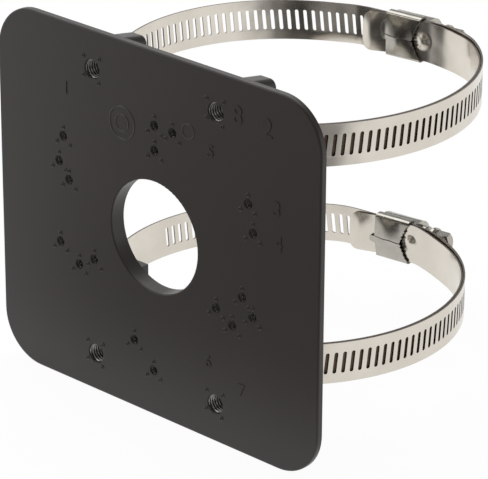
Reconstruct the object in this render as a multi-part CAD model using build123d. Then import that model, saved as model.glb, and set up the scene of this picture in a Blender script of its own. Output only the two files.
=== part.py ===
"""Camera pole mount bracket: a cast plate with two worm drive band clamps.

Millimetres. The origin is the centre of the cable hole on the front face.
X runs across the plate, Y runs from the front face back to the pole, Z is up.
"""

import math
import os

from build123d import *

# Plate
plate_width = 170.0
plate_height = 152.0
plate_thickness = 2.6
plate_corner_radius = 20.0
plate_edge_round = 0.8
cable_hole_radius = 23.0
collar_depth = 6.75
collar_wall = 3.2

# Threaded holes, cut at the outer size of the thread
large_hole_radius = 4.1
large_hole_spacing_x = 65.0
large_hole_spacing_z = 120.0
large_boss_radius = 7.5
large_boss_depth = 10.4
large_hole_depth = 9.0
small_hole_radius = 2.1
small_boss_radius = 4.4
small_boss_depth = 6.6
side_hole_spacing_x = 103.2
side_hole_spacing_z = 34.3
small_hole_places = (
    (-49.0, 28.2), (49.0, 28.2), (-46.2, 10.6), (46.2, -10.6),
    (-41.2, -23.9), (41.2, -23.9), (-32.8, -19.3), (32.8, -19.3),
    (0.6, 46.0), (0.6, 35.9), (10.1, 45.6), (-11.1, -46.8), (-0.5, -56.6),
)

# Lugs behind the plate, each with a slot for a band
lug_inner_x = 28.7
lug_width = 10.3
lug_rear_y = 26.4
lug_slot_from_edge = 30.7
lug_slot_height = 18.6
lug_slot_front_y = 6.4
lug_rear_wall = 3.2
lug_slot_corner = 1.5
lug_above_slot = 12.6
lug_below_slot = 7.5
lug_top_slope = 10.0
lug_round = 3.0
lug_end_chamfer = 0.6
rib_depth = 8.0
rib_width = 3.2
rib_x = 36.8

# Band strip
band_width = 16.8
band_thickness = 0.7
layer_gap = 0.3
slot_pitch = 3.39
slot_width = 1.45
slot_length = 8.8
slot_slant = 5.6
slot_end_margin = 9.0
strip_end_round = 4.0
tail_end_x = -8.0
step_length = 12.0

# Band loops. Two circles make the sides of a loop. Each is given by its place from the
# middle of the loop and by how much it is larger than the loop radius
loop_radius = 69.5
front_run_y = 19.4
front_flat_depth = 16.9
front_bend = 32.0
right_clamp_bend = 32.0
left_clamp_bend = 40.0
clamp_tilt = 7.0

upper_band_room = 0.7
upper_clamp_x = 3.6
upper_clamp_reach = -0.75
upper_tongue_reach = 19.5
upper_slot_start = 309.0
upper_right_circle = (-0.25, 4.5, 4.4)
upper_left_circle = (0.45, 1.9, -3.3)

lower_band_room = 0.4
lower_clamp_x = 0.4
lower_clamp_reach = -0.9
lower_tongue_reach = 21.0
lower_slot_start = 346.2
lower_right_circle = (2.55, 1.75, 0.0)
lower_left_circle = (1.25, 0.15, 0.05)

# Saddle folded round the band. Its places run along the band from the middle of the clamp
saddle_thickness = 0.8
saddle_left = -7.8
saddle_right = 8.7
saddle_clearance = 0.2
saddle_side_room = 0.2
saddle_outer_bend = 1.3
saddle_inner_bend = 0.5
seam_width = 0.25
seam_line = ((-12.0, -0.2), (-7.0, -0.3), (-3.5, -0.5), (0.0, -0.3), (3.5, -0.8), (12.0, -1.1))
saddle_edge = (
    (8.7, 10.0), (8.1, 7.4), (6.9, 6.0), (6.7, 4.4), (5.7, 3.3), (5.5, 1.5), (4.8, 0.2),
    (4.9, -1.6), (5.7, -3.2), (6.7, -4.6), (6.8, -6.1), (8.0, -7.6), (8.7, -10.0),
)
key_reach = 2.4
key_length = 3.6
key_height = 3.4
key_middle_z = -1.4
key_corner = 0.8

# Housing over the worm
housing_left = -8.6
housing_right = 9.2
housing_wall = 0.9
foot_side_room = 0.1
foot_corner = 1.2

# Worm screw
worm_radius = 6.0
worm_clearance = 0.25
worm_room = 0.35
worm_end_room = 0.3
worm_bevel = 1.2
pilot_radius = 3.0
neck_radius = 3.4
bore_clearance = 0.06
ring_radius = 5.6
ring_start = 9.9
ring_end = 12.6
groove_radius = 3.8
flange_radius = 5.9
flange_start = 13.4
flange_end = 16.4
hexagon_across_flats = 9.0
head_end = 22.8
head_bevel = 0.8
driver_slot_width = 1.3
driver_slot_depth = 1.6
driver_slot_turn = 25.0

# Dent beside the clamp
dimple_place = 9.6
dimple_radius = 4.2
dimple_height = 0.9

lug_slot_middle_z = plate_height / 2 - lug_slot_from_edge
lug_high_z = lug_slot_middle_z + lug_slot_height / 2 + lug_above_slot
lug_low_z = lug_slot_middle_z - lug_slot_height / 2 - lug_below_slot
slot_spare = (lug_slot_height - band_width) / 2
upper_band_level = lug_slot_middle_z + slot_spare - upper_band_room
lower_band_level = -lug_slot_middle_z + slot_spare - lower_band_room
lug_slot_rear_y = lug_rear_y - lug_rear_wall
loop_centre_y = front_run_y + loop_radius - front_flat_depth
layer_step = band_thickness + layer_gap
cutter_depth = band_thickness + 0.8 * layer_gap
foot_level = layer_step + band_thickness + 0.2
foot_width = band_width + 2 * foot_side_room
saddle_opening = 2 * (worm_radius + worm_room + housing_wall + saddle_side_room)
axis_out = layer_step + band_thickness + worm_clearance + worm_radius


def slab(sketch, front, rear):
    """Sketch drawn in X and Z, made solid between two depths."""
    return extrude(Plane.XZ.offset(-front) * sketch, amount=-(rear - front))


def peg(x, z, radius, front, rear):
    return slab(Pos(x, z) * Circle(radius), front, rear)


def make_lug():
    """Upper right lug. The top face falls towards the pole."""
    root = plate_thickness - 0.4
    top = lug_high_z + (lug_rear_y - root) * math.tan(math.radians(lug_top_slope))
    outline = Plane.YZ * Polygon(
        (root, lug_low_z), (lug_rear_y, lug_low_z), (lug_rear_y, lug_high_z), (root, top),
        align=None,
    )
    lug = Pos(lug_inner_x, 0, 0) * extrude(outline, amount=lug_width)
    long_edges = [
        e for e in lug.edges()
        if abs(e.center().Z - (lug_high_z + top) / 2) < 0.5 and abs(e.tangent_at(0.5).X) < 0.1
    ]
    lug = fillet(long_edges, lug_round)
    ends = [e for e in lug.edges() if abs(e.center().Y - lug_rear_y) < 0.01]
    lug = chamfer(ends, lug_end_chamfer)
    middle_y = (lug_slot_front_y + lug_slot_rear_y) / 2
    opening = RectangleRounded(
        lug_slot_rear_y - lug_slot_front_y, lug_slot_height, lug_slot_corner
    )
    cutter = extrude(Plane.YZ * Pos(middle_y, lug_slot_middle_z) * opening, amount=lug_width + 4)
    return lug - Pos(lug_inner_x - 2, 0, 0) * cutter


def make_plate():
    outline = RectangleRounded(plate_width, plate_height, plate_corner_radius)
    plate = slab(outline, 0, plate_thickness)
    front_edges = [e for e in plate.edges() if abs(e.center().Y) < 0.01]
    plate = fillet(front_edges, plate_edge_round)
    sides = (-1, 1)
    large = [(i * large_hole_spacing_x / 2, j * large_hole_spacing_z / 2) for i in sides for j in sides]
    small = list(small_hole_places)
    small += [(i * side_hole_spacing_x / 2, j * side_hole_spacing_z / 2) for i in sides for j in sides]
    root = plate_thickness - 0.4
    plate += peg(0, 0, cable_hole_radius + collar_wall, root, collar_depth)
    for x, z in large:
        plate += peg(x, z, large_boss_radius, root, large_boss_depth)
    for x, z in small:
        plate += peg(x, z, small_boss_radius, root, small_boss_depth)
    lug = make_lug()
    for piece in (lug, mirror(lug, about=Plane.YZ)):
        plate += piece
        plate += mirror(piece, about=Plane.XY)
    for i in sides:
        rib = Pos(i * rib_x, 0) * Rectangle(rib_width, 2 * lug_low_z + 1)
        plate += slab(rib, root, rib_depth)
    plate -= peg(0, 0, cable_hole_radius, -1, collar_depth + 1)
    for x, z in large:
        plate -= peg(x, z, large_hole_radius, -1, large_hole_depth)
    for x, z in small:
        plate -= peg(x, z, small_hole_radius, -1, small_boss_depth + 1)
    rim = [
        e for e in plate.edges()
        if abs(e.center().Y) < 0.01 and e.geom_type == GeomType.CIRCLE
        and abs(e.radius - cable_hole_radius) < 0.01
    ]
    return fillet(rim, 0.5)


class Loop:
    """Sizes of one band loop, with the middle of its clamp and the directions there."""

    def __init__(self, clamp_x, clamp_reach, tongue_reach, slot_start, right, left):
        a = math.radians(clamp_tilt)
        self.place = (clamp_x, loop_centre_y + loop_radius + clamp_reach)
        self.along = (math.cos(a), math.sin(a))
        self.out = (-math.sin(a), math.cos(a))
        self.tongue_reach = tongue_reach
        self.slot_start = slot_start
        self.right = (right[0], loop_centre_y + right[1], loop_radius + right[2])
        self.left = (left[0], loop_centre_y + left[1], loop_radius + left[2])


upper_loop = Loop(
    upper_clamp_x, upper_clamp_reach, upper_tongue_reach, upper_slot_start,
    upper_right_circle, upper_left_circle,
)
lower_loop = Loop(
    lower_clamp_x, lower_clamp_reach, lower_tongue_reach, lower_slot_start,
    lower_right_circle, lower_left_circle,
)


def bend(circle, on_line, out, radius, side):
    """Arc that joins a circle to a straight line inside it. Gives its centre and both ends."""
    cx, cy, size = circle
    along = (out[1], -out[0])
    level = (on_line[0] - cx) * out[0] + (on_line[1] - cy) * out[1]
    reach = side * math.sqrt((size - radius) ** 2 - (level - radius) ** 2)
    centre = (
        cx + (level - radius) * out[0] + reach * along[0],
        cy + (level - radius) * out[1] + reach * along[1],
    )
    on_circle = math.atan2(centre[1] - cy, centre[0] - cx)
    touch = (centre[0] + radius * out[0], centre[1] + radius * out[1])
    return centre, touch, on_circle


def loop_pieces(loop):
    """Inner face of the plain layer as lines and arcs, from the middle of the front run
    round by the right. A line is two points, an arc is a centre, a radius and two angles."""
    place, out, right, left = loop.place, loop.out, loop.right, loop.left
    front = (0.0, front_run_y)
    down = (0.0, -1.0)
    c1, p1, a1 = bend(right, front, down, front_bend, -1)
    c2, p2, a2 = bend(right, place, out, right_clamp_bend, 1)
    c3, p3, a3 = bend(left, place, out, left_clamp_bend, -1)
    c4, p4, a4 = bend(left, front, down, front_bend, 1)
    rear = math.atan2(out[1], out[0])
    turn = 2 * math.pi
    return [
        ("line", front, p1),
        ("arc", c1, front_bend, -math.pi / 2, a1),
        ("arc", right[:2], right[2], a1, a2),
        ("arc", c2, right_clamp_bend, a2, rear),
        ("line", p2, p3),
        ("arc", c3, left_clamp_bend, rear, a3),
        ("arc", left[:2], left[2], a3, a4 % turn),
        ("arc", c4, front_bend, a4 % turn, 1.5 * math.pi),
        ("line", p4, front),
    ]


class StripPath:
    """Place on the strip by length from the tongue tip, with the step out to the second layer."""

    def __init__(self, loop):
        self.pieces = loop_pieces(loop)
        self.lengths = [self.measure(piece) for piece in self.pieces]
        self.starts = [sum(self.lengths[:i]) for i in range(len(self.lengths))]
        self.round = sum(self.lengths)
        right_touch = self.pieces[4][1]
        place, along = loop.place, loop.along
        ahead = (right_touch[0] - place[0]) * along[0] + (right_touch[1] - place[1]) * along[1]
        self.clamp = self.starts[4] + ahead
        self.tip = self.clamp + loop.tongue_reach
        self.step_end = self.tip + 2.0
        self.step_start = self.step_end + step_length
        self.total = self.round + self.tip - tail_end_x

    def measure(self, piece):
        if piece[0] == "line":
            return math.dist(piece[1], piece[2])
        return piece[2] * (piece[4] - piece[3])

    def on_piece(self, i, share, extra):
        """Point and outward normal at a share of one piece."""
        kind, first, second = self.pieces[i][:3]
        if kind == "line":
            length = self.lengths[i]
            along = ((second[0] - first[0]) / length, (second[1] - first[1]) / length)
            out = (along[1], -along[0])
            x = first[0] + share * length * along[0] + extra * out[0]
            return (x, first[1] + share * length * along[1] + extra * out[1]), out
        start, end = self.pieces[i][3:]
        a = start + share * (end - start)
        out = (math.cos(a), math.sin(a))
        return (first[0] + (second + extra) * out[0], first[1] + (second + extra) * out[1]), out

    def at(self, s, extra):
        s = s % self.round
        i = max(k for k, start in enumerate(self.starts) if start <= s)
        return self.on_piece(i, (s - self.starts[i]) / self.lengths[i], extra)

    def lift(self, s):
        """How far out the strip lies while it steps over the tongue."""
        x = min(max((self.step_start - s) / step_length, 0.0), 1.0)
        return layer_step * x * x * (3 - 2 * x)

    def run(self, begin, end, extra):
        """Edges from one length back to a smaller one, at a distance out of the loop."""
        edges = []
        for i in reversed(range(len(self.pieces))):
            high = min(begin, self.starts[i] + self.lengths[i])
            low = max(end, self.starts[i])
            if high - low < 1e-6:
                continue
            f, g = ((v - self.starts[i]) / self.lengths[i] for v in (high, low))
            first = self.on_piece(i, f, extra)[0]
            last = self.on_piece(i, g, extra)[0]
            if self.pieces[i][0] == "line":
                edges.append(Line(first, last))
            else:
                edges.append(ThreePointArc(first, self.on_piece(i, (f + g) / 2, extra)[0], last))
        return edges

    def side(self, extra):
        """One face of the strip in plan, from the tongue tip to the tail end."""
        step = []
        for i in range(9):
            s = self.step_start - step_length * i / 8
            step.append(self.at(s, self.lift(s) + extra)[0])
        ends = []
        for s in (self.step_start, self.step_end):
            out = self.at(s, 0)[1]
            ends.append((out[1], -out[0]))
        return (
            self.run(self.tip, 0, extra)
            + self.run(self.round, self.step_start, extra)
            + [Spline(*step, tangents=ends)]
            + self.run(self.step_end, 0, layer_step + extra)
            + self.run(self.round, self.round + tail_end_x, layer_step + extra)
        )


def on_strip(path, p, extra, piece):
    """Piece moved to a place on the strip, with its Y pointing out of the loop."""
    s = path.tip - p
    lift = path.lift(s + path.round) if s < 0 else 0.0
    place, out = path.at(s, lift + extra)
    turn = math.degrees(math.atan2(-out[0], out[1]))
    return Pos(place[0], place[1], 0) * Rot(0, 0, turn) * piece


def make_dimple():
    """Round dent beside the clamp, pressed towards the pole: the dome and its hollow side."""
    big = (dimple_radius**2 + dimple_height**2) / (2 * dimple_height)
    centre = Pos(0, big - dimple_height, 0)
    reach = 4 * dimple_radius
    dome = (centre * Sphere(big)) & (Pos(0, -1.0, 0) * Box(reach, 2.1, reach))
    hollow = (centre * Sphere(big - band_thickness)) & (
        Pos(0, 0, 0) * Box(reach, 2 * band_thickness + 0.1, reach)
    )
    return dome, hollow


def make_end_cutter(side):
    """What is cut away at an end of the strip to round its two corners."""
    block = Box(2 * strip_end_round, cutter_depth, band_width + 2)
    shape = RectangleRounded(6 * strip_end_round, band_width, strip_end_round)
    kept = Plane.XZ * Pos(side * 3 * strip_end_round, 0) * shape
    return block - extrude(kept, amount=cutter_depth, both=True)


def on_clamp(loop, piece):
    """Piece moved from the origin to the middle of the clamp."""
    return Pos(loop.place[0], loop.place[1], 0) * Rot(0, 0, clamp_tilt) * piece


def make_band(loop):
    path = StripPath(loop)
    inner = path.side(0.0)
    outer = path.side(band_thickness)
    ends = [Line(inner[i] @ j, outer[i] @ j) for i, j in ((0, 0), (-1, 1))]
    band = extrude(make_face(inner + outer + ends), amount=band_width / 2, both=True)
    dome, hollow = make_dimple()
    place = loop.tongue_reach + dimple_place
    band = band + on_strip(path, place, 0.0, dome) - on_strip(path, place, 0.0, hollow)
    count = int((path.total - loop.slot_start - slot_end_margin) / slot_pitch) + 1
    cutter = Rot(0, -slot_slant, 0) * Box(slot_width, cutter_depth, slot_length)
    cutters = [
        on_strip(path, loop.slot_start + i * slot_pitch, band_thickness / 2, cutter)
        for i in range(count)
    ]
    cutters.append(on_strip(path, 0, band_thickness / 2, make_end_cutter(1)))
    cutters.append(on_strip(path, path.total, band_thickness / 2, make_end_cutter(-1)))
    return band.cut(*cutters)


def make_saddle():
    """Strap folded round the band, with the two tabs meeting on the pole side."""
    low = -saddle_clearance
    high = foot_level + housing_wall + 0.1
    middle = (low + high) / 2
    wide = foot_width + 2 * saddle_clearance
    outside = RectangleRounded(
        high - low + 2 * saddle_thickness, wide + 2 * saddle_thickness, saddle_outer_bend
    )
    inside = RectangleRounded(high - low, wide, saddle_inner_bend)
    gap = Pos(high - middle + saddle_thickness, 0) * Rectangle(2 * saddle_thickness, saddle_opening)
    section = Plane.YZ * (outside - inside - gap)
    strap = Pos(saddle_left, middle, 0) * extrude(section, amount=saddle_right - saddle_left)
    reach = saddle_clearance + saddle_thickness + 0.5
    layer = Plane.XZ.offset(0.1)
    edge = list(saddle_edge)
    edge += [(saddle_right + reach, -wide), (saddle_right + reach, wide)]
    strap -= extrude(layer * Polygon(*edge, align=None), amount=reach)
    seam = [(u, z + seam_width / 2) for u, z in seam_line]
    seam += [(u, z - seam_width / 2) for u, z in reversed(seam_line)]
    strap -= extrude(layer * Polygon(*seam, align=None), amount=reach)
    key_shape = RectangleRounded(key_length, key_height, key_corner)
    key = Pos(saddle_left - key_reach + key_length / 2, key_middle_z) * key_shape
    key = extrude(Plane.XZ.offset(saddle_clearance) * key, amount=saddle_thickness)
    seam_cut = extrude(layer * Polygon(*seam, align=None), amount=reach)
    return strap + (key - seam_cut)


def make_housing():
    """Pressed arch over the worm, with feet held by the saddle and a wall at each end."""
    inner = worm_radius + worm_room
    outer = inner + housing_wall
    arch = Pos(axis_out, 0) * Circle(outer)
    arch += Pos((axis_out + foot_level) / 2, 0) * Rectangle(axis_out - foot_level, 2 * outer)
    room = Pos(axis_out, 0) * Circle(inner)
    room += Pos((axis_out + foot_level) / 2 - 1, 0) * Rectangle(axis_out - foot_level + 2, 2 * inner)
    feet = Pos(foot_level + housing_wall / 2, 0) * Rectangle(housing_wall, foot_width)
    length = housing_right - housing_left
    shell = extrude(Plane.YZ * ((arch + feet) - room), amount=length)
    solid = extrude(Plane.YZ * (arch & (arch + feet)), amount=housing_wall)
    solid -= Pos(0, foot_level / 2 - 1, 0) * Box(4 * housing_wall, foot_level + 2, 2 * foot_width)
    housing = Pos(housing_left, 0, 0) * shell
    housing += Pos(housing_left, 0, 0) * solid
    housing += Pos(housing_right - housing_wall, 0, 0) * solid
    bore = Pos(housing_left, axis_out, 0) * Rot(0, 90, 0)
    housing -= bore * Cylinder(pilot_radius + bore_clearance, 6 * housing_wall)
    bore = Pos(housing_right, axis_out, 0) * Rot(0, 90, 0)
    housing -= bore * Cylinder(neck_radius + bore_clearance, 6 * housing_wall)
    rounding = [
        e for e in housing.edges()
        if abs(abs(e.center().Z) - foot_width / 2) < 0.01 and abs(e.tangent_at(0.5).Y) > 0.9
    ]
    return fillet(rounding, foot_corner)


def turned(*profile):
    """Solid of revolution about X from places along it and their radii."""
    points = [(profile[0][0], 0), *profile, (profile[-1][0], 0)]
    return revolve(Plane.XY * Polygon(*points, align=None), axis=Axis.X)


def make_worm_screw():
    """Worm, ring, flange and hexagon head with a driver slot, on its own axis along X.
    The worm is a plain bar as wide as its thread."""
    start = housing_left + housing_wall + worm_end_room
    end = housing_right - housing_wall - worm_end_room
    screw = turned(
        (housing_left - 0.6, pilot_radius), (start, pilot_radius),
        (start, worm_radius - worm_bevel), (start + worm_bevel, worm_radius),
        (end - worm_bevel, worm_radius), (end, worm_radius - worm_bevel),
        (end, neck_radius), (ring_start, neck_radius),
        (ring_start, ring_radius - 0.4), (ring_start + 0.4, ring_radius),
        (ring_end - 0.4, ring_radius), (ring_end, ring_radius - 0.4),
        (ring_end, groove_radius), (flange_start, groove_radius),
        (flange_end - 1.2, flange_radius), (flange_end, flange_radius),
    )
    shape = RegularPolygon(hexagon_across_flats / 2, 6, major_radius=False)
    head = Pos(flange_end, 0, 0) * extrude(Plane.YZ * shape, amount=head_end - flange_end)
    corner = hexagon_across_flats / math.sqrt(3)
    head &= turned(
        (flange_end - 0.5, corner + 0.1), (head_end - head_bevel, corner + 0.1),
        (head_end, corner - 1.6 * head_bevel),
    )
    slot = Pos(head_end, 0, 0) * Rot(driver_slot_turn, 0, 0) * Box(
        2 * driver_slot_depth, driver_slot_width, 3 * flange_radius
    )
    return screw + (head - slot)


def save(name, piece):
    export_step(piece, os.path.join("parts", name + ".step"))


os.makedirs("parts", exist_ok=True)
save("mounting_plate", make_plate())
saddle = make_saddle()
housing = make_housing()
worm_screw = Pos(0, axis_out, 0) * make_worm_screw()
for name, loop, level in (
    ("upper", upper_loop, upper_band_level),
    ("lower", lower_loop, lower_band_level),
):
    up = Pos(0, 0, level)
    save(name + "_band", up * make_band(loop))
    save(name + "_saddle", up * on_clamp(loop, saddle))
    save(name + "_housing", up * on_clamp(loop, housing))
    save(name + "_worm_screw", up * on_clamp(loop, worm_screw))
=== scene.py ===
"""Looks of the camera pole mount bracket: a black cast plate with two slotted steel bands.

The frame gives the pieces and their places. Lengths here are written in millimetres, and in
metres only where a comment says so.
"""

import math

import bmesh
import bpy
from mathutils import Matrix, Vector


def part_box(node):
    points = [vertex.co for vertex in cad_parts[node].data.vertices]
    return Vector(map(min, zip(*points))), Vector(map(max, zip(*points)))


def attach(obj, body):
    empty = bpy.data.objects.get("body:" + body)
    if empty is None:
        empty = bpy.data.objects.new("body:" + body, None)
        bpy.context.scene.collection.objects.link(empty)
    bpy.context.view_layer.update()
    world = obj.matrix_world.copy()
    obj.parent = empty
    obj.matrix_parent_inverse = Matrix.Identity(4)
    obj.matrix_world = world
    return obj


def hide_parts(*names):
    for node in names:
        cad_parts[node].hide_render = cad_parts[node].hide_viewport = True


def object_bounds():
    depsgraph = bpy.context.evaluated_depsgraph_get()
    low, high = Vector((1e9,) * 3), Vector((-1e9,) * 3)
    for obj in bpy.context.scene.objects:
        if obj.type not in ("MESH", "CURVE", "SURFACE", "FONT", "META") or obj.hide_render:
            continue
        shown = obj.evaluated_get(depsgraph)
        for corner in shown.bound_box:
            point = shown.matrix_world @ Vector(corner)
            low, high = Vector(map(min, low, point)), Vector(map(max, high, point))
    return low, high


MM = 0.001

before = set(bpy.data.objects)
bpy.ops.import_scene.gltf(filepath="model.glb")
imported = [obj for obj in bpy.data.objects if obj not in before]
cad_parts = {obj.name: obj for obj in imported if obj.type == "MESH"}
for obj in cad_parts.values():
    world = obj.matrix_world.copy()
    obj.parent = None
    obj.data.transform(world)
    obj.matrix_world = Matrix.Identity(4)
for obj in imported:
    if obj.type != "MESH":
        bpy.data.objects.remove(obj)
cad_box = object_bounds()

# Band strip, the same sizes as in the part
strip_width = 16.8
strip_thickness = 0.7
layer_step = 1.0
slot_pitch = 3.39
slot_half_width = 0.725
slot_half_length = 4.4
slot_slant = 5.6
slot_end_margin = 9.0
strip_end_round = 4.0
sheared_edge = 0.09
tail_end_x = -8.0
step_length = 12.0
step_room = 2.0

# The strip's mesh leans with its slots: from here before the first slot, growing over a length,
# and back to upright at the strip's end
slant_start = -24.0
slant_length = 22.0
slant_end = 8.0

# Loop of each band, seen from above. The clamp's middle and the side circles are given as
# differences from one round loop. The tongue reaches out left of the clamp's middle, and the
# first slot stands at a length from the tongue's tip.
loop_radius = 69.5
loop_centre_y = 72.0
front_run_y = 19.4
front_bend = 32.0
right_clamp_bend = 32.0
left_clamp_bend = 40.0
clamp_tilt = 7.0
band_shapes = {
    "upper": {
        "clamp": (3.6, -0.75), "tongue_reach": 19.5, "slot_start": 309.0,
        "right": (-0.25, 4.5, 4.4), "left": (0.45, 1.9, -3.3),
        "hooked_edge": (
            (-10.0, -7.8), (-2.3, -7.5), (-2.0, -9.3), (-1.5, -9.9), (-0.7, -9.8), (0.3, -9.1),
            (1.2, -10.0), (2.4, -10.3), (3.1, -9.7), (4.2, -10.1), (5.0, -9.2), (5.5, -7.9),
            (10.0, -7.8),
        ),
    },
    "lower": {
        "clamp": (0.4, -0.9), "tongue_reach": 21.0, "slot_start": 346.2,
        "right": (2.55, 1.75, 0.0), "left": (1.25, 0.15, 0.05),
        "hooked_edge": (
            (-10.0, -7.8), (-8.2, -6.9), (-3.3, -7.5), (-3.05, -9.7), (-2.6, -10.2),
            (-1.0, -10.3), (-0.45, -9.8), (-0.1, -7.8), (10.0, -7.8),
        ),
    },
}

# Round dimple in the strip beside the clamp
dimple_place = 9.6
dimple_radius = 4.5
dimple_height = 0.85

# The wrap holds the plain layer this far left and right of the clamp's middle. Outside that
# the layer hangs a little low.
hold_left = -8.0
hold_right = 9.0
tongue_droop = 1.3
right_droop = 1.1
right_droop_length = 20.0
right_droop_end = 60.0

# Crown of the free tongue, steep towards its tip and slow towards the wrap
tongue_swell = 0.95
crown_rise = 1.4
crown_fall = 0.5

# Earlier bend of the plain layer right of the clamp
give_depth = 0.45
give_start = 11.0
give_full = 18.0
give_fade = 30.0

# Curl of the slotted layer's lower edge where it climbs on the tongue
curl_depth = 0.85
curl_height = 4.9
curl_before_round = 33.0
curl_rise = 28.0
curl_end = 30.0
curl_fade = 8.0

# Wrap of the clamp, in the clamp's own directions from the middle of the strip. Edges are
# given as pairs: height, and how far along the strip the sheet ends there.
wrap_sheet = 0.8
wrap_left = -7.8
wrap_right = 8.7
wrap_face = -0.6
wrap_back = 3.3
wrap_half_height = 9.1
wrap_bend = 0.9
wrap_opening = 7.45
wrap_swell = 1.15
wrap_edge_soft = 0.18
swell_margin = 0.12
swell_length = 13.0
swell_fullness = 0.5
wrap_columns = 26
edge_blend = 2.0
seam_half_width = 0.13
seam_right = 5.2
seam_line = ((-12.0, -0.2), (-7.0, -0.3), (-3.5, -0.5), (0.0, -0.3), (3.5, -0.8), (12.0, -1.1))
broken_edge = (
    (-10.0, 8.7), (-7.6, 8.3), (-6.9, 7.2), (-6.1, 7.2), (-5.4, 6.2), (-4.6, 6.8), (-3.9, 5.6),
    (-3.2, 5.9), (-2.4, 4.8), (-1.6, 5.3), (-0.8, 4.4), (0.2, 5.1), (0.9, 4.7), (1.6, 5.9),
    (2.5, 5.3), (3.3, 6.3), (4.0, 6.1), (4.6, 7.2), (5.3, 6.6), (6.2, 7.4), (6.8, 7.2),
    (7.4, 8.4), (10.0, 8.7),
)

# Softened edges of the pressed and turned pieces
pressed_edge = 0.15
joined_distance = 0.01

# Threaded holes in the plate, by their middle in X and Z
large_hole_radius = 4.1
large_hole_depth = 9.0
large_hole_spacing = (65.0, 120.0)
large_thread_pitch = 1.25
small_hole_radius = 2.1
small_hole_depth = 6.6
small_thread_pitch = 0.8
side_hole_spacing = (103.2, 34.3)
small_hole_places = [
    (-49.0, 28.2), (49.0, 28.2), (-46.2, 10.6), (46.2, -10.6),
    (-41.2, -23.9), (41.2, -23.9), (-32.8, -19.3), (32.8, -19.3),
    (0.6, 46.0), (0.6, 35.9), (10.1, 45.6), (-11.1, -46.8), (-0.5, -56.6),
]

# Form of a thread. Its height, lead in and run out are shares of the pitch, and a bare crest
# begins at a share of the thread's height.
thread_height = 0.6
thread_lead_in = 0.6
thread_run_out = 0.3
thread_sink = 0.15
thread_gap = 0.01
crest_slope = 1.15
large_bare_crest = 0.5
# Painted shade: the small threads keep less bare crest, so more of each small hole is black coat
# and it reads dark
small_bare_crest_and_shade = 0.8

# Small marks of the casting on the plate's face, as profiles of radius and height. A pit has a
# low rim round a sunken point, and a mould's insert leaves a thin raised ring.
pit_radius = 1.15
pit_height = 0.32
pit_profile = ((1.0, 0.02), (0.82, -0.6), (0.6, -1.0), (0.42, -0.7), (0.3, 0.02))
large_pit_offsets = ((-4.6, 4.6), (4.0, 5.0), (-4.6, -3.2), (3.4, -4.9))
small_pit_offsets = ((0.0, 3.6), (-3.6, -3.0), (3.6, -3.1))
number_height = 0.2
mould_rings = ((-16.5, 42.5, 6.6), (-16.5, 42.5, 3.4), (18.4, 48.5, 3.0))
mould_ring_profile = ((0.4, 0.02), (0.16, -0.9), (-0.16, -0.9), (-0.4, 0.02))

# Raised numbers: the figure, its middle in X and Z, and its height
number_edge = 0.06
figure_share = 0.7
raised_numbers = (
    ("8", 43.5, 61.5, 7.4), ("2", 58.5, 60.5, 7.4), ("1", -47.0, 48.5, 5.0),
    ("5", 30.0, 43.5, 5.0), ("3", 63.5, 30.0, 6.0), ("4", 64.5, 16.5, 6.0),
    ("6", 28.8, -43.3, 5.0), ("7", 46.1, -49.7, 5.0),
)

# Camera, from the fit of the plate's edges and holes in the photograph
image_width = 488
focal_pixels = 3175.4
view_azimuth = 42.956
view_elevation = 23.673
view_roll = 0.327
camera_place = (782.5, -789.8, 486.5)

# Dim side of the studio, which only reflections show: where the dimness starts, where it is
# full, and how much of it there is. The sky's are directions, the floor's are metres.
dim_brightness = 0.06
sky_in_front = (0.1, -0.3, 1.0)
sky_above = (0.1, 0.35, 0.75)
floor_in_front = (0.0, -0.08, 1.0)
floor_to_the_right = (-0.12, -0.03, 1.0)
sky_fill = 0.55
floor_in_mirrors = 0.75
floor_whiteness = 0.94
floor_reach = 4.0

# Softboxes: name, place and width in metres, power in watts
softboxes = (
    ("top_softbox", (-0.55, 0.25, 1.1), 1.6, 14.0),
    ("left_softbox", (-1.0, -1.1, 0.5), 0.9, 4.5),
    ("front_softbox", (0.8, -1.1, 0.9), 0.5, 1.2),
)
lamp_target = Vector((0.0, 0.07, 0.0))


def corners_of(spacing):
    """Middles of four holes at a spacing in X and Z."""
    return [(i * spacing[0] / 2, j * spacing[1] / 2) for i in (-1, 1) for j in (-1, 1)]


def linear(hex_colour):
    """A colour written as sRGB hex, as Blender's linear values."""
    parts = [int(hex_colour[i : i + 2], 16) / 255 for i in (1, 3, 5)]
    return [v / 12.92 if v <= 0.04045 else ((v + 0.055) / 1.055) ** 2.4 for v in parts] + [1.0]


def add(tree, kind, inputs=None, **settings):
    """Adds a node, with a value or another node's output for each named input."""
    node = tree.nodes.new(kind)
    for name, value in settings.items():
        setattr(node, name, value)
    for name, value in (inputs or {}).items():
        if isinstance(value, bpy.types.NodeSocket):
            tree.links.new(value, node.inputs[name])
        else:
            node.inputs[name].default_value = value
    return node


def new_material(name):
    material = bpy.data.materials.new(name)
    material.use_nodes = True
    tree = material.node_tree
    tree.nodes.clear()
    return material, tree


def finish_material(tree, shader):
    add(tree, "ShaderNodeOutputMaterial", {"Surface": shader.outputs[0]})


def per_metre(size_mm):
    """Noise scale for a pattern whose features are this many millimetres apart."""
    return 1000.0 / size_mm


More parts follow.
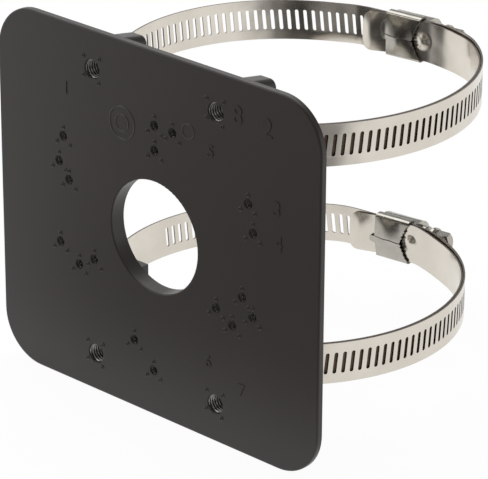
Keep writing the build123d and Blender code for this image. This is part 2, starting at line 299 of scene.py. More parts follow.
def powder_coat():
    """Satin black polyester powder coat, baked on die cast aluminium. The film flows to a
    faint orange peel, so soft lights spread on it, with a fine tooth from the casting."""
    peel_size, tooth_size, patch_size = 1.6, 0.35, 38.0
    material, tree = new_material("satin_black_powder_coat")
    place = add(tree, "ShaderNodeTexCoord").outputs["Object"]
    peel = add(
        tree, "ShaderNodeTexNoise",
        {"Vector": place, "Scale": per_metre(peel_size), "Detail": 2.0},
    )
    tooth = add(
        tree, "ShaderNodeTexNoise",
        {"Vector": place, "Scale": per_metre(tooth_size), "Detail": 3.0},
    )
    patches = add(
        tree, "ShaderNodeTexNoise",
        {"Vector": place, "Scale": per_metre(patch_size), "Detail": 3.0},
    )
    colour = add(
        tree, "ShaderNodeMix",
        {"Factor": patches.outputs["Fac"], "A": linear("#2B2521"), "B": linear("#26211D")},
        data_type="RGBA",
    )
    rough = add(
        tree, "ShaderNodeMapRange",
        {"Value": tooth.outputs["Fac"], "From Min": 0.3, "From Max": 0.7,
         "To Min": 0.3, "To Max": 0.4},
    )
    waves = add(
        tree, "ShaderNodeBump",
        {"Height": peel.outputs["Fac"], "Strength": 0.35, "Distance": 0.06 * MM},
    )
    grain = add(
        tree, "ShaderNodeBump",
        {"Height": tooth.outputs["Fac"], "Normal": waves.outputs[0],
         "Strength": 0.3, "Distance": 0.03 * MM},
    )
    finish_material(tree, add(
        tree, "ShaderNodeBsdfPrincipled",
        {"Base Color": colour.outputs["Result"], "Roughness": rough.outputs["Result"],
         "IOR": 1.5, "Normal": grain.outputs[0]},
    ))
    return material


def tapped_aluminium():
    """Crests of the threads, cut through the coat: grey die cast aluminium, dulled by oil."""
    material, tree = new_material("tapped_cast_aluminium")
    finish_material(tree, add(
        tree, "ShaderNodeBsdfPrincipled",
        {"Base Color": linear("#B4B1AC"), "Metallic": 0.85, "Roughness": 0.34},
    ))
    return material


def rolled_stainless():
    """Bright cold rolled stainless strip. The rolls leave fine lines along the band, so
    lights smear across its width. Handling leaves soft cloudy patches, and the strip isn't
    quite even, so the edges of reflections waver. Real lines are too fine to show, so they
    are drawn half a millimetre apart."""
    line_gap, cloud_size, wave_size = 0.5, 14.0, 11.0
    material, tree = new_material("bright_rolled_stainless_strip")
    place = add(tree, "ShaderNodeTexCoord").outputs["Object"]
    lengthwise = add(tree, "ShaderNodeMapping", {"Vector": place, "Scale": (0.02, 0.02, 1.0)})
    lines = add(
        tree, "ShaderNodeTexNoise",
        {"Vector": lengthwise.outputs[0], "Scale": per_metre(line_gap), "Detail": 3.0},
    )
    clouds = add(
        tree, "ShaderNodeTexNoise",
        {"Vector": place, "Scale": per_metre(cloud_size), "Detail": 3.0},
    )
    colour = add(
        tree, "ShaderNodeMix",
        {"Factor": clouds.outputs["Fac"], "A": linear("#E2DCD2"), "B": linear("#D2CBC0")},
        data_type="RGBA",
    )
    rough = add(
        tree, "ShaderNodeMapRange",
        {"Value": clouds.outputs["Fac"], "From Min": 0.3, "From Max": 0.7,
         "To Min": 0.16, "To Max": 0.26},
    )
    waves = add(
        tree, "ShaderNodeTexNoise",
        {"Vector": place, "Scale": per_metre(wave_size), "Detail": 1.0},
    )
    sway = add(
        tree, "ShaderNodeBump",
        {"Height": waves.outputs["Fac"], "Strength": 0.4, "Distance": 0.6 * MM},
    )
    bump = add(
        tree, "ShaderNodeBump",
        {"Height": lines.outputs["Fac"], "Normal": sway.outputs[0],
         "Strength": 0.12, "Distance": 0.02 * MM},
    )
    finish_material(tree, add(
        tree, "ShaderNodeBsdfPrincipled",
        {"Base Color": colour.outputs["Result"], "Metallic": 1.0,
         "Roughness": rough.outputs["Result"], "Normal": bump.outputs[0]},
    ))
    return material


def slot_shade_stainless():
    """Outer side of the covered layer, seen only at the bottom of the slots: the same strip
    painted dark brown and dull, as painted shade in the slots, so they show dark against the
    bright steel."""
    shade_blotch_size = 3.0
    material, tree = new_material("slot_shaded_stainless_strip")
    place = add(tree, "ShaderNodeTexCoord").outputs["Object"]
    clouds = add(
        tree, "ShaderNodeTexNoise", {"Vector": place, "Scale": per_metre(shade_blotch_size), "Detail": 3.0}
    )
    colour = add(
        tree, "ShaderNodeMix",
        {"Factor": clouds.outputs["Fac"], "A": linear("#8A7865"), "B": linear("#6E5F50")},
        data_type="RGBA",
    )
    finish_material(tree, add(
        tree, "ShaderNodeBsdfPrincipled",
        {"Base Color": colour.outputs["Result"], "Metallic": 0.6, "Roughness": 0.65},
    ))
    return material


def sheared_shaded_stainless():
    """Cut edge of the strip, of its slots and of the wraps, torn by the shear and finely rough,
    and painted dark as painted shade on the slot walls and in the crack between a wrap's edge and
    the band.
    """
    tear_size = 0.8
    material, tree = new_material("sheared_stainless_edge_painted_shade")
    place = add(tree, "ShaderNodeTexCoord").outputs["Object"]
    tears = add(
        tree, "ShaderNodeTexNoise",
        {"Vector": place, "Scale": per_metre(tear_size), "Detail": 2.0},
    )
    bump = add(
        tree, "ShaderNodeBump",
        {"Height": tears.outputs["Fac"], "Strength": 0.3, "Distance": 0.04 * MM},
    )
    finish_material(tree, add(
        tree, "ShaderNodeBsdfPrincipled",
        {"Base Color": linear("#6B655F"), "Metallic": 1.0, "Roughness": 0.45,
         "Normal": bump.outputs[0]},
    ))
    return material


def pressed_stainless():
    """Stainless sheet pressed in a die. The bends rub it duller and its face is uneven."""
    cloud_size, dent_size = 5.0, 7.0
    material, tree = new_material("pressed_stainless_sheet")
    place = add(tree, "ShaderNodeTexCoord").outputs["Object"]
    clouds = add(
        tree, "ShaderNodeTexNoise",
        {"Vector": place, "Scale": per_metre(cloud_size), "Detail": 4.0},
    )
    colour = add(
        tree, "ShaderNodeMix",
        {"Factor": clouds.outputs["Fac"], "A": linear("#C2BEB6"), "B": linear("#A39F97")},
        data_type="RGBA",
    )
    rough = add(
        tree, "ShaderNodeMapRange",
        {"Value": clouds.outputs["Fac"], "From Min": 0.3, "From Max": 0.7,
         "To Min": 0.14, "To Max": 0.22},
    )
    dents = add(
        tree, "ShaderNodeTexNoise",
        {"Vector": place, "Scale": per_metre(dent_size), "Detail": 1.0},
    )
    bump = add(
        tree, "ShaderNodeBump",
        {"Height": dents.outputs["Fac"], "Strength": 0.35, "Distance": 0.3 * MM},
    )
    finish_material(tree, add(
        tree, "ShaderNodeBsdfPrincipled",
        {"Base Color": colour.outputs["Result"], "Metallic": 1.0,
         "Roughness": rough.outputs["Result"], "Normal": bump.outputs[0]},
    ))
    return material


def turned_stainless():
    """Screw of stainless bar, headed and rolled, then tumbled: small soft glints."""
    pit_size = 0.9
    material, tree = new_material("tumbled_stainless_screw")
    place = add(tree, "ShaderNodeTexCoord").outputs["Object"]
    pits = add(
        tree, "ShaderNodeTexNoise", {"Vector": place, "Scale": per_metre(pit_size), "Detail": 3.0}
    )
    bump = add(
        tree, "ShaderNodeBump",
        {"Height": pits.outputs["Fac"], "Strength": 0.3, "Distance": 0.04 * MM},
    )
    finish_material(tree, add(
        tree, "ShaderNodeBsdfPrincipled",
        {"Base Color": linear("#AFABA3"), "Metallic": 1.0, "Roughness": 0.24,
         "Normal": bump.outputs[0]},
    ))
    return material


def new_piece(name, mesh_maker, body, *materials):
    """A new mesh object, filled by mesh_maker, that rides on a body."""
    mesh = bpy.data.meshes.new(name)
    work = bmesh.new()
    mesh_maker(work)
    work.to_mesh(mesh)
    work.free()
    mesh.shade_smooth()
    for material in materials:
        mesh.materials.append(material)
    piece = bpy.data.objects.new(name, mesh)
    bpy.context.scene.collection.objects.link(piece)
    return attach(piece, body)


def vertex(work, x, y, z):
    """A new vertex at a place in millimetres."""
    return work.verts.new((x * MM, y * MM, z * MM))


def soften(piece, width):
    """Rounds the sharp edges by a width in millimetres."""
    edge = piece.modifiers.new("soft_edges", "BEVEL")
    edge.width = width * MM
    edge.segments = 2
    edge.limit_method = "ANGLE"
    edge.angle_limit = math.radians(40)
    edge.harden_normals = True


def middle_height(node):
    """Height of the middle of a CAD node, in millimetres."""
    low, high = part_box(node)
    return (low.z + high.z) / 2 / MM


def thicken(piece, thickness, edge_material, outer_material=0):
    """Gives a middle sheet its thickness. The numbers say how far down the list of materials
    those of its cut edges and of its outer side stand."""
    sheet = piece.modifiers.new("sheet_thickness", "SOLIDIFY")
    sheet.thickness = thickness * MM
    sheet.offset = 0.0
    sheet.material_offset = outer_material
    sheet.material_offset_rim = edge_material
    sheet.use_even_offset = True


def smooth(x):
    """Eased step from 0 to 1."""
    x = min(max(x, 0.0), 1.0)
    return x * x * (3 - 2 * x)


def between(points, x):
    """Value at x on a line through points, sorted by their first numbers."""
    for (a, f), (b, g) in zip(points, points[1:]):
        if x <= b:
            return f + (g - f) * max(x - a, 0.0) / (b - a)
    return points[-1][1]


def clamp_directions():
    """Directions along the strip and out of the loop at the clamp."""
    a = math.radians(clamp_tilt)
    return (math.cos(a), math.sin(a)), (-math.sin(a), math.cos(a))


def bend(circle, on_line, out, radius, side):
    """Arc between a circle and a line inside it: its centre, its end on the line, and
    the angle of its end on the circle."""
    cx, cy, size = circle
    along = (out[1], -out[0])
    level = (on_line[0] - cx) * out[0] + (on_line[1] - cy) * out[1]
    reach = side * math.sqrt((size - radius) ** 2 - (level - radius) ** 2)
    centre = (
        cx + (level - radius) * out[0] + reach * along[0],
        cy + (level - radius) * out[1] + reach * along[1],
    )
    touch = (centre[0] + radius * out[0], centre[1] + radius * out[1])
    return centre, touch, math.atan2(centre[1] - cy, centre[0] - cx)


class Loop:
    """Inner face of a band's plain layer, by length from the middle of its front run. A
    length p on the strip is counted from the tip of its tongue."""

    def __init__(self, level, clamp, tongue_reach, slot_start, right, left, hooked_edge):
        along, out = clamp_directions()
        self.level, self.tongue_reach, self.slot_start = level, tongue_reach, slot_start
        self.hooked_edge = hooked_edge
        self.place = place = (clamp[0], loop_centre_y + loop_radius + clamp[1])
        right = (right[0], loop_centre_y + right[1], loop_radius + right[2])
        left = (left[0], loop_centre_y + left[1], loop_radius + left[2])
        front, down = (0.0, front_run_y), (0.0, -1.0)
        c1, p1, a1 = bend(right, front, down, front_bend, -1)
        c2, p2, a2 = bend(right, place, out, right_clamp_bend, 1)
        c3, p3, a3 = bend(left, place, out, left_clamp_bend, -1)
        c4, p4, a4 = bend(left, front, down, front_bend, 1)
        rear, turn = math.atan2(out[1], out[0]), 2 * math.pi
        self.pieces = [
            ("line", front, p1),
            ("arc", c1, front_bend, -math.pi / 2, a1),
            ("arc", right[:2], right[2], a1, a2),
            ("arc", c2, right_clamp_bend, a2, rear),
            ("line", p2, p3),
            ("arc", c3, left_clamp_bend, rear, a3),
            ("arc", left[:2], left[2], a3, a4 % turn),
            ("arc", c4, front_bend, a4 % turn, 1.5 * math.pi),
            ("line", p4, front),
        ]
        self.lengths = [
            math.dist(p[1], p[2]) if p[0] == "line" else p[2] * (p[4] - p[3])
            for p in self.pieces
        ]
        self.starts = [sum(self.lengths[:i]) for i in range(len(self.lengths))]
        self.round = sum(self.lengths)
        ahead = (p2[0] - place[0]) * along[0] + (p2[1] - place[1]) * along[1]
        self.tip = self.starts[4] + ahead + tongue_reach
        self.total = self.round + self.tip - tail_end_x

    def at(self, s):
        """Point and outward direction at a length along the loop."""
        s = s % self.round
        i = max(k for k, start in enumerate(self.starts) if start <= s)
        share = (s - self.starts[i]) / self.lengths[i]
        kind, first, second = self.pieces[i][:3]
        if kind == "line":
            along = [(b - a) / self.lengths[i] for a, b in zip(first, second)]
            point = [a + share * (b - a) for a, b in zip(first, second)]
            return point, (along[1], -along[0])
        start, end = self.pieces[i][3:]
        a = start + share * (end - start)
        out = (math.cos(a), math.sin(a))
        return [first[0] + second * out[0], first[1] + second * out[1]], out

    def lift(self, p):
        """How far out the strip lies once it has come round and stepped over its tongue."""
        step_start = self.tip + step_room + step_length
        x = (step_start - (self.tip - p) - self.round) / step_length
        return layer_step * smooth(x)

    def on_strip(self, p, out_of_loop):
        """Point on the strip at a distance from its inner face."""
        (x, y), out = self.at(self.tip - p)
        far = self.lift(p) + out_of_loop
        return x + far * out[0], y + far * out[1]

    def droop(self, p):
        """How low the plain layer hangs beside the clamp."""
        wrap_start, wrap_end = self.tongue_reach + hold_left, self.tongue_reach + hold_right
        if p < wrap_start:
            return tongue_droop * (1 - p / wrap_start)
        if p < wrap_end:
            return 0.0
        fade = 1 - smooth((p - wrap_end - right_droop_length) / right_droop_end)
        return right_droop * smooth((p - wrap_end) / right_droop_length) * fade

    def give(self, p):
        """Earlier bend of the plain layer where the clamp lets it go."""
        u = p - self.tongue_reach
        begun = smooth((u - give_start) / (give_full - give_start))
        return give_depth * begun * (1 - smooth((u - give_full) / give_fade))

    def curl(self, p, z):
        """Lower edge of the slotted layer, curled out where it climbs on the tongue."""
        u = p - self.round + curl_before_round
        low = max(curl_height - strip_width / 2 - z, 0.0) / curl_height
        return curl_depth * low * low * smooth(u / curl_rise) * (
            1 - smooth((u - curl_end) / curl_fade)
        )

    def swell(self, p, z):
        """Crown of the free tongue towards the pole."""
        wrap_start = self.tongue_reach + hold_left
        if p > wrap_start:
            return 0.0
        x, y = p / wrap_start, z / (strip_width / 2)
        sweep = min(crown_rise * x, 1 - crown_fall * (1 - x))
        return tongue_swell * math.sin(math.pi * sweep) * (1 - y * y)


def strip_levels():
    """Heights of the strip's rows, with those that the round slot ends need."""
    straight_rows, round_rows, edge_rows = 8, 6, 6
    straight, edge = slot_half_length - slot_half_width, strip_width / 2
    up = [straight * i / straight_rows for i in range(straight_rows + 1)]
    for i in range(1, round_rows + 1):
        up.append(straight + slot_half_width * math.sin(math.pi / 2 * i / round_rows))
    for i in range(1, edge_rows + 1):
        up.append(slot_half_length + (edge - slot_half_length) * i / edge_rows)
    return [-z for z in reversed(up[1:])] + up


def slot_reach(z):
    """Half the slot's width at a height."""
    beyond = abs(z) - (slot_half_length - slot_half_width)
    if beyond <= 0:
        return slot_half_width
    return math.sqrt(max(slot_half_width**2 - beyond**2, 0.0))


def end_height(p, total):
    """Share of the strip's half width that is left near its rounded ends."""
    near = min(p, total - p)
    if near >= strip_end_round:
        return 1.0
    inset = strip_end_round - math.sqrt(strip_end_round**2 - (strip_end_round - near) ** 2)
    return 1 - inset / (strip_width / 2)


def dent(loop, p, z):
    """Depth of the soft round dimple beside the clamp."""
    off = math.hypot(p - loop.tongue_reach - dimple_place, z)
    if off >= dimple_radius:
        return 0.0
    return dimple_height * (0.5 + 0.5 * math.cos(math.pi * off / dimple_radius))


def strip_columns(loop):
    """Columns along the strip as (length, side): side is -1 or 1 for a slot's two edges, and
    0 where there is no slot. They stand close at the round ends and over the dimple."""
    round_end = [0.0, 0.06, 0.3, 0.8, 1.6, 2.7]
    tongue_gap, tongue_columns = 1.5, 12
    fine_gap, fine_margin, room = 0.4, 0.6, 0.5
    plain_gap, tail_columns = 2.2, 3
    fine = int(2 * (dimple_radius + fine_margin) / fine_gap)
    fine_start = loop.tongue_reach + dimple_place - fine * fine_gap / 2
    plain = round_end + [strip_end_round + tongue_gap * i for i in range(tongue_columns + 1)]
    plain = [p for p in plain if p < fine_start - room]
    plain += [fine_start + fine_gap * i for i in range(fine + 1)]
    first, last = plain[-1], loop.slot_start - slot_pitch / 2
    steps = int((last - first) / plain_gap)
    plain += [first + (last - first) * i / steps for i in range(1, steps + 1)]
    columns = [(p, 0) for p in plain]
    for i in range(int((loop.total - loop.slot_start - slot_end_margin) / slot_pitch) + 1):
        p = loop.slot_start + i * slot_pitch
        columns += [(p, -1), (p, 1), (p + slot_pitch / 2, 0)]
    last = columns[-1][0]
    left = loop.total - strip_end_round - last
    columns += [(last + left * i / tail_columns, 0) for i in range(1, tail_columns + 1)]
    columns += [(loop.total - near, 0) for near in reversed(round_end)]
    return columns


def make_strip(work, loop):
    """Middle sheet of a band, flat rows and columns with slots left open, laid on its loop.
    The part of the plain layer that the band covers takes the second material."""
    rows = strip_levels()
    columns = strip_columns(loop)
    slant = math.radians(slot_slant)
    grid = []
    for p, side in columns:
        column = []
        lean = smooth((p - loop.slot_start - slant_start) / slant_length)
        lean *= smooth((loop.total - p) / slant_end)
        for z in rows:
            reach = slot_reach(z) if side else 0.0
            if side == 1 and reach < 1e-6:
                column.append(grid[-1][len(column)])
                continue
            at = p + side * reach / math.cos(slant) - lean * z * math.tan(slant)
            at = min(max(at, 0.0), loop.total)
            height = z * end_height(at, loop.total)
            out = strip_thickness / 2 + loop.curl(at, z) - dent(loop, at, height)
            out -= loop.swell(at, z) + loop.give(at)
            x, y = loop.on_strip(at, out)
            column.append(vertex(work, x, y, loop.level + height - loop.droop(at)))
        grid.append(column)
    covered = loop.tip - tail_end_x
    for (p, left_side), left, right in zip(columns, grid, grid[1:]):
        if left_side == -1:
            continue
        for j in range(len(rows) - 1):
            face = work.faces.new((left[j], right[j], right[j + 1], left[j + 1]))
            face.material_index = 1 if p < covered else 0


def add_band(name, loop, bare, slot_shade, edge):
    """A band as a sheet of its thickness. Its faces are bare steel but for the outer side
    of the covered layer, which is painted dull and dark brown as painted shade in the slots over
    it."""
    band = new_piece(
        name + "_strip", lambda work: make_strip(work, loop), "bracket",
        bare, bare, slot_shade, edge, edge,
    )
    thicken(band, strip_thickness, edge_material=3, outer_material=1)
    soften(band, sheared_edge)
    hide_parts(name)
    return band


def tab_shares():
    """Rows of a tab, as shares of the way from the seam to the fold. They stand close at the
    seam, by the hook and on the broken edge's teeth."""
    return [
        0.0, 0.02, 0.06, 0.13, 0.2, 0.27, 0.31, 0.335, 0.36, 0.4,
        0.46, 0.53, 0.6, 0.67, 0.74, 0.81, 0.88, 0.94, 1.0,
    ]


def fold_section():
    """Section of the wrap from the end of a tab round the fold to the open back, as places
    out of the loop and up."""
    bend_rows, top_rows, back_rows = 6, 3, 2
    turns = [math.pi / 2 * i / bend_rows for i in range(1, bend_rows + 1)]
    low = wrap_half_height - wrap_bend
    inner, outer = wrap_face + wrap_bend, wrap_back - wrap_bend
    section = [(inner - wrap_bend * math.cos(a), low + wrap_bend * math.sin(a)) for a in turns]
    for i in range(1, top_rows + 1):
        section.append((inner + (outer - inner) * i / top_rows, wrap_half_height))
    section += [(outer + wrap_bend * math.sin(a), low + wrap_bend * math.cos(a)) for a in turns]
    for i in range(1, back_rows + 1):
        section.append((wrap_back, low + (wrap_opening - low) * i / back_rows))
    return section


def tab_row(loop, side, share, low):
    """One row of a swollen tab, at a share of the way from the seam to its fold."""
    ends = []
    for edge, u in ((loop.hooked_edge, wrap_left), (broken_edge, seam_right)):
        seam = between(seam_line, u) + side * seam_half_width
        ends.append(between(edge, seam + share * (low - seam)))
    row = []
    for i in range(wrap_columns + 1):
        u = ends[0] + i / wrap_columns * (ends[1] - ends[0])
        seam = between(seam_line, u) + side * seam_half_width
        along = min(max((u - wrap_left) / swell_length, 0.0), 1.0)
        arch = math.sin(math.pi * (swell_margin + (1 - 2 * swell_margin) * along))
        swollen = (1 - share) * (1 + swell_fullness * share) * arch
        row.append((u, wrap_face - wrap_swell * swollen, seam + share * (low - seam)))
    return row


def fold_row(loop, side, r, z):
    """One row of the fold and the back, whose ends run out to the wrap's straight edges."""
    blend = smooth((r - wrap_face) / edge_blend)
    left, right = between(loop.hooked_edge, side * z), between(broken_edge, side * z)
    left += blend * (wrap_left - left)
    right += blend * (wrap_right - right)
    return [
        (left + (right - left) * i / wrap_columns, r, side * z) for i in range(wrap_columns + 1)
    ]


def make_wrap(work, loop):
    """Steel sheet folded round the band: two swollen tabs that meet at a wavy seam, with a
    hook at the left and a broken edge at the right."""
    along, out = clamp_directions()
    for side in (-1, 1):
        low = side * (wrap_half_height - wrap_bend)
        rows = [tab_row(loop, side, share, low) for share in tab_shares()]
        rows += [fold_row(loop, side, r, z) for r, z in fold_section()]
        grid = [
            [
                vertex(
                    work,
                    loop.place[0] + u * along[0] + r * out[0],
                    loop.place[1] + u * along[1] + r * out[1],
                    loop.level + z,
                )
                for u, r, z in row
            ]
            for row in rows
        ]
        for a, b in zip(grid, grid[1:]):
            for i in range(wrap_columns):
                face = (a[i], a[i + 1], b[i + 1], b[i])
                work.faces.new(face if side == 1 else face[::-1])


def add_wrap(name, loop, sheet, edge):
    """The folded wrap as a sheet of its thickness, with its cut edges in their own dark finish,
    which paints the shade of the crack along them.
    """
    wrap = new_piece(name + "_folded", lambda work: make_wrap(work, loop), "bracket", sheet, edge)
    thicken(wrap, wrap_sheet, edge_material=1)
    soften(wrap, wrap_edge_soft)
    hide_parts(name)
    return wrap


def make_thread(work, x, z, radius, depth, pitch, bare_crest):
    """Internal thread: rings of points whose radius follows the helix, faded at both ends.
    The crests take the second material."""
    around, rows_per_turn = 40, 10
    rows = int(depth / pitch * rows_per_turn)
    grid = []
    for j in range(rows + 1):
        y = thread_sink + (depth - 2 * thread_sink) * j / rows
        begun = (y - thread_sink) / (thread_lead_in * pitch)
        fade = min(1.0, begun, (depth - thread_sink - y) / (thread_run_out * pitch))
        ring = []
        for i in range(around):
            turn = i / around
            wave = abs(2 * ((y / pitch + turn) % 1.0) - 1)
            r = radius + thread_gap
            r -= thread_height * pitch * fade * min(wave * crest_slope, 1.0)
            a = 2 * math.pi * turn
            point = vertex(work, x + r * math.cos(a), y, z + r * math.sin(a))
            ring.append((point, wave * fade))
        grid.append(ring)
    for a, b in zip(grid, grid[1:]):
        for i in range(around):
            k = (i + 1) % around
            corners = (a[i], a[k], b[k], b[i])
            face = work.faces.new([point for point, _ in corners])
            bare = sum(rise for _, rise in corners) > len(corners) * bare_crest
            face.material_index = 1 if bare else 0


def add_threads(name, places, sizes, *materials):
    """Threads of one size in all their holes, as one piece."""
    def cut(work):
        for x, z in places:
            make_thread(work, x, z, *sizes)

    return new_piece(name, cut, "bracket", *materials)


def revolve(work, x, z, profile, around):
    """Turns a profile of radii and depths about an axis through the plate at x and z."""
    turns = [2 * math.pi * i / around for i in range(around)]
    rings = [
        [vertex(work, x + r * math.cos(a), y, z + r * math.sin(a)) for a in turns]
        for r, y in profile
    ]
    for a, b in zip(rings, rings[1:]):
        for i in range(around):
            k = (i + 1) % around
            work.faces.new((a[i], a[k], b[k], b[i]))


def add_casting_marks(large_places, small_places, material):
    """Thin rings of the mould's inserts and small pits round the holes."""
    pit = [(share * pit_radius, rise * pit_height) for share, rise in pit_profile]

    def press(work):
        for x, z, radius in mould_rings:
            ring = [(radius + off, rise * number_height) for off, rise in mould_ring_profile]
            revolve(work, x, z, ring, around=48)
        for offsets, places in (
            (large_pit_offsets, large_places), (small_pit_offsets, small_places)
        ):
            for x, z in places:
                for dx, dz in offsets:
                    revolve(work, x + dx, z + dz, pit, around=14)

    return new_piece("casting_pits", press, "bracket", material)


def add_numbers(material):
    """Single raised numbers, each a flat outline stood up on the plate's face."""
    def raise_numbers(work):
        for text, x, z, size in raised_numbers:
            outline = bpy.data.curves.new("number", "FONT")
            outline.body = text
            outline.size = size / figure_share * MM
            outline.align_x = "CENTER"
            outline.align_y = "CENTER"
            outline.extrude = number_height * MM
            outline.bevel_depth = number_edge * MM
            holder = bpy.data.objects.new("number", outline)
            mesh = bpy.data.meshes.new_from_object(holder)
            mesh.transform(
                Matrix.Translation((x * MM, 0.0, z * MM)) @ Matrix.Rotation(math.pi / 2, 4, "X")
            )
            work.from_mesh(mesh)
            bpy.data.objects.remove(holder)
            bpy.data.curves.remove(outline)
            bpy.data.meshes.remove(mesh)

    piece = new_piece("raised_numbers", raise_numbers, "bracket", material)
    for face in piece.data.polygons:
        face.use_smooth = False
    return piece


def dress(node, material, edge=None):
    """Gives a CAD node its finish, with its edges softened where a width is given."""
    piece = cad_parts[node]
    piece.data.materials.clear()
    piece.data.materials.append(material)
    if edge:
        join = piece.modifiers.new("joined_faces", "WELD")
        join.merge_threshold = joined_distance * MM
        soften(piece, edge)


def place_camera():
    """Camera at the photograph's angle, roll and distance."""
    data = bpy.data.cameras.new("camera")
    data.sensor_width = 36.0
    data.lens = focal_pixels / image_width * data.sensor_width
    data.clip_start, data.clip_end = 0.01, 50.0
    camera = bpy.data.objects.new("camera", data)
    bpy.context.scene.collection.objects.link(camera)
    turn = Matrix.Rotation(math.radians(view_azimuth), 4, "Z")
    turn = turn @ Matrix.Rotation(math.radians(90 - view_elevation), 4, "X")
    turn = turn @ Matrix.Rotation(math.radians(view_roll), 4, "Z")
    camera.matrix_world = Matrix.Translation([v * MM for v in camera_place]) @ turn
    bpy.context.scene.camera = camera


def soft_light(name, place, width, power):
    """Square softbox aimed at the middle of the bracket."""
    data = bpy.data.lights.new(name, "AREA")
    data.shape = "SQUARE"
    data.size = width
    data.energy = power
    lamp = bpy.data.objects.new(name, data)
    bpy.context.scene.collection.objects.link(lamp)
    lamp.location = place
    aim = lamp_target - lamp.location
    lamp.rotation_euler = aim.to_track_quat("-Z", "Y").to_euler()


def studio_brightness(tree, camera_ray, limits, combine):
    """Brightness of the white surroundings: 1 to the camera, and in reflections too, but for
    the dim side of the studio. Each limit is a place, where the dimness starts, where it is
    full and how much there is; combine joins the two."""
    steps = [
        add(
            tree, "ShaderNodeMapRange",
            {"Value": place, "From Min": start, "From Max": full, "To Min": 0.0, "To Max": much},
            interpolation_type="SMOOTHSTEP",
        ).outputs["Result"]
        for place, start, full, much in limits
    ]
    dimness = add(tree, "ShaderNodeMath", {0: steps[0], 1: steps[1]}, operation=combine)
    bright = add(
        tree, "ShaderNodeMapRange",
        {"Value": dimness.outputs[0], "From Min": 0.0, "From Max": 1.0,
         "To Min": 1.0, "To Max": dim_brightness},
    )
    return add(
        tree, "ShaderNodeMath", {0: camera_ray, 1: bright.outputs["Result"]}, operation="MAXIMUM"
    ).outputs[0]


def seen_directly(tree, path, to_mirror):
    """1 for the camera's rays, and a share for rays from a reflection or through glass."""
    mirrored = add(
        tree, "ShaderNodeMath",
        {0: path.outputs["Is Glossy Ray"], 1: path.outputs["Is Transmission Ray"]},
        operation="MAXIMUM",
    )
    mirrored = add(
        tree, "ShaderNodeMath", {0: mirrored.outputs[0], 1: to_mirror}, operation="MULTIPLY"
    )
    return add(
        tree, "ShaderNodeMath", {0: mirrored.outputs[0], 1: path.outputs["Is Camera Ray"]},
        operation="MAXIMUM",
    ).outputs[0]


def light_studio():
    """White surroundings with a soft fill, and the softboxes."""
    world = bpy.data.worlds.new("studio")
    bpy.context.scene.world = world
    world.use_nodes = True
    tree = world.node_tree
    tree.nodes.clear()
    path = add(tree, "ShaderNodeLightPath")
    place = add(tree, "ShaderNodeTexCoord").outputs["Generated"]
    way = add(tree, "ShaderNodeSeparateXYZ", {0: place})
    strength = studio_brightness(
        tree, path.outputs["Is Camera Ray"],
        ((way.outputs["Y"], *sky_in_front), (way.outputs["Z"], *sky_above)), "MAXIMUM",
    )
    fill = add(
        tree, "ShaderNodeBackground", {"Color": linear("#F2F2F4"), "Strength": sky_fill}
    )
    white = add(
        tree, "ShaderNodeBackground", {"Color": linear("#FFFFFF"), "Strength": strength}
    )
    mix = add(
        tree, "ShaderNodeMixShader",
        {0: seen_directly(tree, path, 1.0), 1: fill.outputs[0], 2: white.outputs[0]},
    )
    add(tree, "ShaderNodeOutputWorld", {"Surface": mix.outputs[0]})
    for softbox in softboxes:
        soft_light(*softbox)


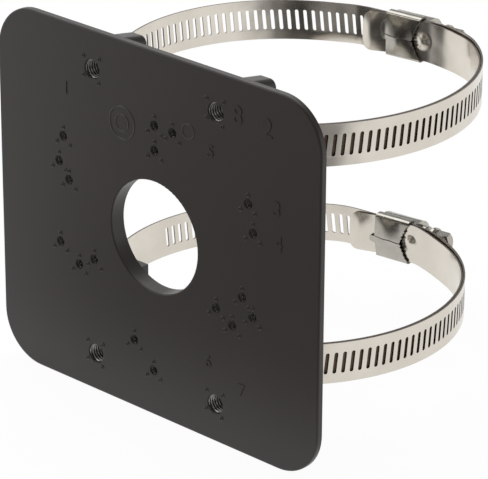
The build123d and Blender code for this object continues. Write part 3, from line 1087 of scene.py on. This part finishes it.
def lay_floor():
    """Pale floor under the plate's lower edge. It glows so that it shows near white, and keeps
    the shadow. In reflections only, its glow is painted dim in front of and to the right of the
    bracket, a painted reflection of a dim studio on that side."""
    material, tree = new_material("white_paper_floor")
    path = add(tree, "ShaderNodeLightPath")
    position = add(tree, "ShaderNodeNewGeometry").outputs["Position"]
    place = add(tree, "ShaderNodeSeparateXYZ", {0: position})
    across = add(
        tree, "ShaderNodeMath", {0: place.outputs["X"], 1: place.outputs["Y"]},
        operation="SUBTRACT",
    )
    strength = studio_brightness(
        tree, path.outputs["Is Camera Ray"],
        ((place.outputs["Y"], *floor_in_front), (across.outputs[0], *floor_to_the_right)),
        "MULTIPLY",
    )
    paper = add(tree, "ShaderNodeBsdfDiffuse", {"Color": linear("#F4F4F2")})
    bright = add(
        tree, "ShaderNodeEmission", {"Color": linear("#FFFFFF"), "Strength": strength}
    )
    share = add(
        tree, "ShaderNodeMath",
        {0: seen_directly(tree, path, floor_in_mirrors), 1: floor_whiteness},
        operation="MULTIPLY",
    )
    finish_material(tree, add(
        tree, "ShaderNodeMixShader",
        {0: share.outputs[0], 1: paper.outputs[0], 2: bright.outputs[0]},
    ))
    mesh = bpy.data.meshes.new("floor")
    work = bmesh.new()
    level = cad_box[0].z
    corners = [
        work.verts.new((x * floor_reach, y * floor_reach, level))
        for x, y in ((-1, -1), (1, -1), (1, 1), (-1, 1))
    ]
    work.faces.new(corners)
    work.to_mesh(mesh)
    work.free()
    mesh.materials.append(material)
    floor = bpy.data.objects.new("floor", mesh)
    bpy.context.scene.collection.objects.link(floor)


coat = powder_coat()
thread_finish = tapped_aluminium()
strip_finish = rolled_stainless()
# Painted shade: the covered layer is dark brown so that the slots over it read dark
slot_shade_finish = slot_shade_stainless()
# Painted shade: the cut edges are dark, for the slot walls and the crack along each wrap's edge
shaded_edge_finish = sheared_shaded_stainless()
sheet_finish = pressed_stainless()
screw_finish = turned_stainless()

large_holes = corners_of(large_hole_spacing)
small_holes = small_hole_places + corners_of(side_hole_spacing)

dress("mounting_plate", coat)
for level_name in ("upper", "lower"):
    loop = Loop(middle_height(level_name + "_band"), **band_shapes[level_name])
    add_band(level_name + "_band", loop, strip_finish, slot_shade_finish, shaded_edge_finish)
    add_wrap(level_name + "_saddle", loop, sheet_finish, shaded_edge_finish)
    dress(level_name + "_housing", sheet_finish, pressed_edge)
    dress(level_name + "_worm_screw", screw_finish, pressed_edge)
add_casting_marks(large_holes, small_holes, coat)
add_numbers(coat)
add_threads(
    "large_hole_threads", large_holes,
    (large_hole_radius, large_hole_depth, large_thread_pitch, large_bare_crest),
    coat, thread_finish,
)
add_threads(
    "small_hole_threads", small_holes,
    (small_hole_radius, small_hole_depth, small_thread_pitch, small_bare_crest_and_shade),
    coat, thread_finish,
)

place_camera()
light_studio()
lay_floor()
bpy.context.scene.view_settings.view_transform = "Standard"
